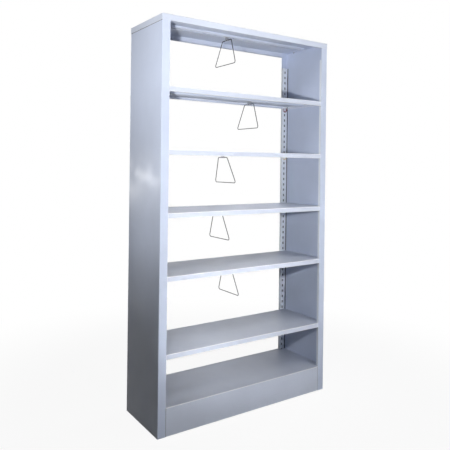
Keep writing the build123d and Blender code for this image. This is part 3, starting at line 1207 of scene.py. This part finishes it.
@dataclass
class BookStops:
    """The five hanging wire loops with their runners."""

    nodes: dict[str, bpy.types.Object]
    wire_radius: float = 0.002
    wire_sides: int = 12
    wire_step: float = 0.0025
    arc_points: int = 8
    height: float = 0.137
    top_width: float = 0.084
    bottom_width: float = 0.198
    top_bend: float = 0.008
    bottom_bend: float = 0.009
    weld_y: float = 0.012
    weld_reach: float = 0.0045
    weld_swell: float = 1.2
    swings: dict[int, float] = field(
        default_factory=lambda: {1: -4.4, 2: -3.9, 3: 8.0, 4: 5.0, 5: 5.0})

    def outline(self, name: str, hanger: Vector, foot: Vector) -> bpy.types.Mesh:
        """Corners of one loop, with the radius of each bend.

        Args:
            name: Name of the mesh.
            hanger: Middle of its top run.
            foot: Middle of its bottom run.

        Returns:
            The closed outline, with its radii in the attribute called bend.
        """
        points = [
            (hanger.x, -self.top_width / 2, hanger.z),
            (hanger.x, self.top_width / 2, hanger.z),
            (foot.x, self.bottom_width / 2, foot.z),
            (foot.x, -self.bottom_width / 2, foot.z),
        ]
        radii = (self.top_bend, self.top_bend, self.bottom_bend, self.bottom_bend)
        mesh = bpy.data.meshes.new(name)
        mesh.from_pydata(points, [(0, 1), (1, 2), (2, 3), (3, 0)], [])
        bend = mesh.attributes.new("bend", "FLOAT", "POINT")
        for item, radius in zip(bend.data, radii):
            item.value = radius
        return mesh

    def build(self, program: GeometryProgram) -> list[bpy.types.Object]:
        """Makes the five loops.

        Args:
            program: Tree that bends a wire.

        Returns:
            The loops, each riding on its own stop.
        """
        finish = DrawnWire("stop_wire").material()
        made = []
        for level, swing in self.swings.items():
            node = f"wire_stop_{level}"
            runner_low, runner_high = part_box(f"stop_runner_{level}")
            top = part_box(node)[1].z - self.wire_radius
            hanger = Vector(((runner_low.x + runner_high.x) / 2, 0.0, top))
            tilt = math.radians(swing)
            foot = hanger + self.height * Vector((math.sin(tilt), 0.0, -math.cos(tilt)))
            outline = self.outline(f"loop_{level}", hanger, foot)
            piece = program.bake(f"wire_loop_{level}", outline, {
                "Wire radius": self.wire_radius,
                "Sides": self.wire_sides,
                "Step": self.wire_step,
                "Arc points": self.arc_points,
                "Weld place": (foot.x, self.weld_y, foot.z),
                "Weld reach": self.weld_reach,
                "Weld swell": self.weld_swell,
                "Finish": finish,
            })
            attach(piece, f"book_stop_{level}")
            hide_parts(node)
            made.append(piece)
        return made

    def dress(self) -> None:
        """Plates the runners."""
        finish = ZincPlate("runner_plating", colour=(0.6, 0.61, 0.64), roughness=0.34).material()
        paint(self.nodes, [f"stop_runner_{level}" for level in self.swings], finish)


@dataclass
class MarkerDots:
    """Two small plain paper dots on the right rear post, which mark a height."""

    radius: float = 0.0165
    thickness: float = 0.00015
    sink: float = 0.00002
    rim: float = 0.6
    sides: int = 40
    centre_share: float = 0.5
    red_rise: float = 0.006
    red: Colour = (0.2, 0.02, 0.03)
    pale: Colour = (0.95, 0.93, 0.92)
    yellow_rise: float = 0.008
    yellow: Colour = (0.82, 0.68, 0.38)

    def build(self) -> list[bpy.types.Object]:
        """Makes the dots and sticks them on the post's slotted face.

        Returns:
            The two dots.
        """
        low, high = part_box("right_rear_post")
        x = (low.x + high.x) / 2
        red_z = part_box("shelf_2")[0].z + self.red_rise
        yellow_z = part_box("shelf_3")[0].z + self.yellow_rise
        profile = [
            (0.0, 0.0),
            (self.radius, 0.0),
            (self.radius, self.thickness * self.rim),
            (self.radius - self.thickness, self.thickness),
            (0.0, self.thickness),
        ]
        made = []
        for name, z, ink, centre in (
            ("red_marker_dot", red_z, self.red, self.pale),
            ("yellow_marker_dot", yellow_z, self.yellow, None),
        ):
            finish = PaperDot(name, ink, centre, (x, low.y, z), self.radius * self.centre_share)
            form = turned(profile, self.sides)
            place = Matrix.Translation((x, low.y + self.sink, z))
            upright = place @ Matrix.Rotation(math.pi / 2, 4, "X")
            bmesh.ops.transform(form, matrix=upright, verts=form.verts)
            piece = placed(name, mesh_of(name, form, smooth_degrees=40))
            piece.data.materials.append(finish.material())
            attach(piece, "frame")
            made.append(piece)
        return made


# Studio


@dataclass(frozen=True)
class Lamp:
    """One soft area lamp that looks at a point: a disc, or a strip where it has a height."""

    name: str
    place: Point
    target: Point
    size: float
    power: float
    colour: Colour = WHITE
    spread: float = math.pi
    height: float = 0.0

    def build(self) -> None:
        """Makes the lamp."""
        data = bpy.data.lights.new(self.name, "AREA")
        data.spread = self.spread
        data.shape = "RECTANGLE" if self.height else "DISK"
        data.size = self.size
        if self.height:
            data.size_y = self.height
        data.energy = self.power
        data.color = self.colour
        lamp = placed(self.name, data)
        lamp.location = self.place
        toward = Vector(self.target) - Vector(self.place)
        lamp.rotation_mode = "QUATERNION"
        lamp.rotation_quaternion = toward.to_track_quat("-Z", "Y")


@dataclass
class Studio:
    """Floor, lamps, surroundings and the camera."""

    ambient: float = 0.02
    ambient_colour: Colour = (0.96, 0.98, 1.0)
    flash: Point = (-1.444, -1.506, 1.276)
    flash_size: float = 0.08
    floor_size: float = 30.0
    floor_squares: int = 8
    eye: Point = (-1.6733, -2.4091, 1.2879)
    yaw: float = 0.59284
    roll: float = 0.01254
    focal_pixels: float = 531.687
    frame_pixels: float = 450.0
    horizon_pixel: float = 165.42
    sensor: float = 36.0
    nearest: float = 0.05
    farthest: float = 100.0

    def lamps(self) -> list[Lamp]:
        """The lamps: hard ones beside the camera that reach one height each, the rest soft.

        Returns:
            Every lamp, with its place, target, size and power.
        """
        flash, size = self.flash, self.flash_size
        return [
            Lamp("flash_high_lamp", flash, (0.1, 0.0, 2.1), size, 7.0, spread=1.4),
            Lamp("flash_middle_lamp", flash, (0.2, 0.0, 1.05), size, 0.39, spread=0.62),
            Lamp("flash_low_lamp", flash, (0.2, 0.0, 0.5), size, 0.21, spread=0.56),
            Lamp("flash_foot_lamp", flash, (0.3, 0.0, 0.2), size, 0.2, spread=0.5),
            Lamp("flash_left_lamp", flash, (-0.14, 0.0, 0.25), size, 0.09, spread=0.24),
            Lamp("overhead_lamp", (0.5, -1.6, 3.2), (0.0, 0.0, 1.0), 1.2, 12.5),
            Lamp("front_low_lamp", (0.6, -3.4, 0.7), (-0.2, 0.0, 0.35), 1.0, 5.6, spread=1.7),
            Lamp("front_middle_lamp", (0.6, -4.2, 1.0), (0.45, 0.0, 0.8), 0.8, 2.0, spread=0.52),
            Lamp("right_top_lamp", (0.9, -1.3, 2.7), (0.2, 0.0, 1.7), 0.7, 3.2, spread=1.9),
            Lamp("flange_lamp", (-0.45, -3.0, 0.9), (-0.48, -0.18, 0.66), 0.3, 1.2, spread=0.56),
            Lamp("shelf_lamp", (-0.2, -1.6, 1.9), (0.1, 0.0, 0.4), 0.3, 0.12, spread=0.5),
            Lamp("deck_strip_lamp", (0.0, -2.5, 1.75), (0.0, 0.09, 1.065), 0.8, 0.27,
                 (0.8, 0.88, 1.0), spread=0.05, height=0.02),
            Lamp("left_high_lamp", (-2.3, -0.6, 2.6), (-0.53, 0.0, 1.7), 0.6, 1.5, spread=0.85),
            Lamp("left_middle_lamp", (-2.6, -0.4, 1.2), (-0.53, 0.0, 0.9), 0.2, 0.14, spread=0.38),
            Lamp("glint_lamp", (-1.75, 2.53, 1.12), (-0.53, -0.02, 1.2), 0.25, 0.5, spread=1.0),
            Lamp("rear_lamp", (1.5, 2.6, 2.4), (0.0, 0.0, 1.0), 1.2, 3.0),
            Lamp("right_side_lamp", (3.0, 0.5, 1.5), (0.53, 0.0, 1.0), 0.8, 4.0, spread=0.9),
        ]

    def build(self) -> None:
        """Makes everything round the bookshelf."""
        self.floor()
        for lamp in self.lamps():
            lamp.build()
        self.surroundings()
        self.camera()
        bpy.context.scene.view_settings.view_transform = "Standard"

    def floor(self) -> None:
        """Makes the floor, which belongs to the stage."""
        form = bmesh.new()
        bmesh.ops.create_grid(form, x_segments=self.floor_squares, y_segments=self.floor_squares,
                              size=self.floor_size / 2)
        floor = placed("studio_floor", mesh_of("studio_floor", form))
        for polygon in floor.data.polygons:
            if polygon.normal.z < 0:
                polygon.flip()
        floor.data.materials.append(StudioFloor("floor_paint").material())

    def surroundings(self) -> None:
        """Makes pale surroundings that show white to the camera and in gloss, and light softly."""
        world = bpy.data.worlds.new("surroundings")
        bpy.context.scene.world = world
        world.use_nodes = True
        graph = NodeGraph(world.node_tree)
        graph.tree.nodes.clear()
        rays = graph.add("ShaderNodeLightPath").outputs
        soft = graph.add("ShaderNodeBackground", {
            "Color": rgba(self.ambient_colour),
            "Strength": self.ambient,
        })
        white = graph.add("ShaderNodeBackground", {"Color": rgba(WHITE), "Strength": 1.0})
        seen = rays["Is Camera Ray"]
        for name in ("Is Glossy Ray", "Is Transmission Ray"):
            either = graph.add("ShaderNodeMath", {0: seen, 1: rays[name]}, operation="MAXIMUM")
            seen = either.outputs["Value"]
        mix = graph.add("ShaderNodeMixShader", {
            0: seen,
            1: soft.outputs["Background"],
            2: white.outputs["Background"],
        })
        graph.add("ShaderNodeOutputWorld", {"Surface": mix.outputs["Shader"]})

    def camera(self) -> None:
        """Makes the camera at the photograph's place and angle."""
        data = bpy.data.cameras.new("camera")
        data.sensor_width = self.sensor
        data.sensor_fit = "HORIZONTAL"
        data.lens = self.focal_pixels / self.frame_pixels * self.sensor
        data.shift_y = (self.horizon_pixel - self.frame_pixels / 2) / self.frame_pixels
        data.clip_start = self.nearest
        data.clip_end = self.farthest
        forward = Vector((math.sin(self.yaw), math.cos(self.yaw), 0.0))
        level = Vector((math.cos(self.yaw), -math.sin(self.yaw), 0.0))
        upright = Vector((0.0, 0.0, 1.0))
        right = level * math.cos(self.roll) + upright * math.sin(self.roll)
        up = upright * math.cos(self.roll) - level * math.sin(self.roll)
        turn = Matrix((right, up, -forward)).transposed()
        camera = placed("camera", data)
        camera.matrix_world = Matrix.Translation(self.eye) @ turn.to_4x4()
        bpy.context.scene.camera = camera


def report(pieces: Iterable[bpy.types.Object]) -> None:
    """Names each new piece in the log."""
    for piece in pieces:
        LOG.info("made %s", piece.name)


def main() -> None:
    """Loads the frame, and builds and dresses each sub-assembly."""
    logging.basicConfig(level=logging.INFO, format="%(name)s: %(message)s")
    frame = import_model()
    nodes = frame["nodes"]
    grey: Colour = (0.625, 0.675, 0.795)

    Studio().build()
    SidePanels(grey, nodes).dress()
    Posts(grey, nodes).dress()
    repeat = repeat_program()
    cover = TopCover(grey, nodes)
    report(cover.build(repeat))
    cover.dress()
    kick = KickPlates(grey, nodes)
    report(kick.build(repeat))
    kick.dress()
    Shelves(grey, nodes).dress()
    stops = BookStops(nodes)
    report(stops.build(wire_program()))
    stops.dress()
    report(MarkerDots().build())


if __name__ == "__main__":
    main()
